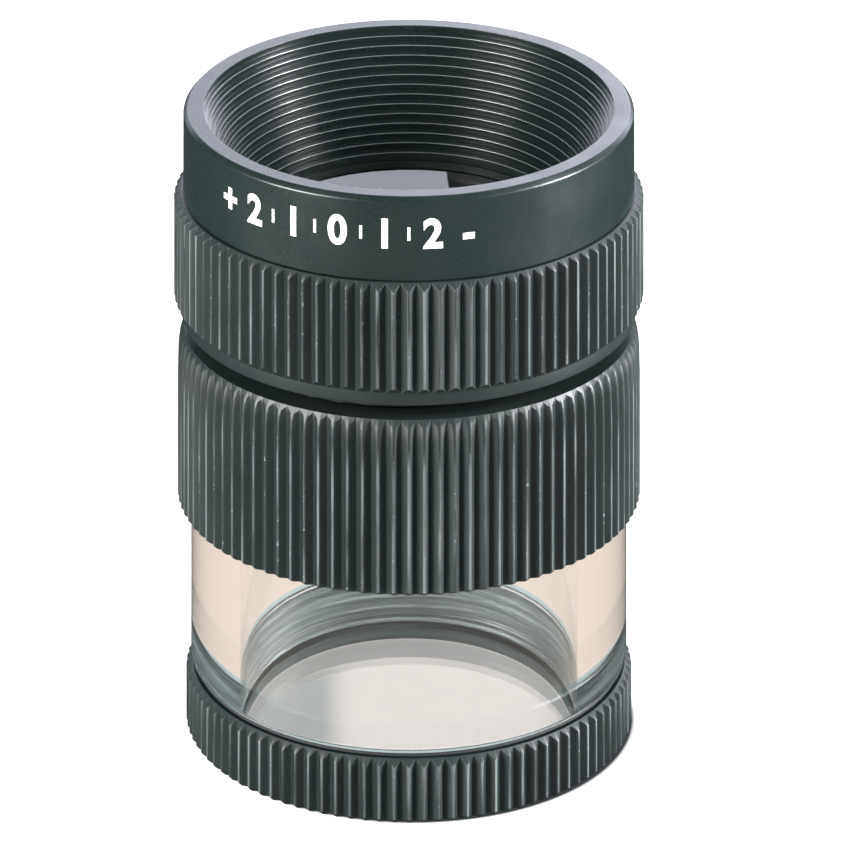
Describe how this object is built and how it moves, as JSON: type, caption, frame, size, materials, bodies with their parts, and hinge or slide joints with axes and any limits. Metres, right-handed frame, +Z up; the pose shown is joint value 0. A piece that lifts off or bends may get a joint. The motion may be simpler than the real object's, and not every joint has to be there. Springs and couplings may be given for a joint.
{
  "type": "viewing loupe",
  "caption": "Focusing loupe: grooved eyepiece and knurled focusing ring screwed into a knurled sleeve on a clear light-gathering tube, with a knurled screw-on base ring.",
  "frame": {"origin": "centre of the base ring's underside", "axes": "+Z up along the optical axis, from the foot to the eyepiece rim"},
  "size_m": [0.038, 0.038, 0.0494],
  "materials": {
    "black_metal": "black anodised, satin, fine machining marks",
    "clear_acrylic": "polished clear acrylic",
    "optical_glass": "coated optical glass",
    "plate_glass": "polished plain glass",
    "black_rubber": "matt",
    "steel": "plain"
  },
  "bodies": {
    "base": {"base_ring": "black_metal", "cover_glass": "plate_glass", "glass_washer": "black_rubber"},
    "tube_seal": {"tube_gasket": "black_rubber"},
    "holder": {"clear_tube": "clear_acrylic", "grip_sleeve": "black_metal"},
    "focus_drag": {"drag_ring": "black_rubber"},
    "eyepiece": {"eyepiece_ring": "black_metal", "focus_grip_ring": "black_metal", "lens_barrel": "black_metal", "eye_flint_lens": "optical_glass", "eye_crown_lens": "optical_glass", "lens_spacer": "black_metal", "field_crown_lens": "optical_glass", "field_flint_lens": "optical_glass", "lens_lock_ring": "black_metal", "set_screw_1": "steel", "set_screw_2": "steel", "set_screw_3": "steel", "stop_clip": "steel"}
  },
  "joints": [
    {"name": "base_lift", "type": "slide", "parent": "base", "child": "tube_seal", "axis": [0, 0, 1], "range_m": [0, 0.00169]},
    {"name": "base_turn", "type": "hinge", "parent": "tube_seal", "child": "holder", "pos_m": [0, 0, 0], "axis": [0, 0, -1], "range_deg": [-810, 0]},
    {"name": "focus_lift", "type": "slide", "parent": "holder", "child": "focus_drag", "axis": [0, 0, 1], "range_m": [-0.00092, 0.0015]},
    {"name": "focus_turn", "type": "hinge", "parent": "focus_drag", "child": "eyepiece", "pos_m": [0, 0, 0.0287], "axis": [0, 0, 1], "range_deg": [-110, 180]}
  ],
  "couplings": [
    {"joint": "base_lift", "follows": "base_turn", "m_per_rad": -0.00011937},
    {"joint": "focus_lift", "follows": "focus_turn", "m_per_rad": 0.00047746}
  ]
}
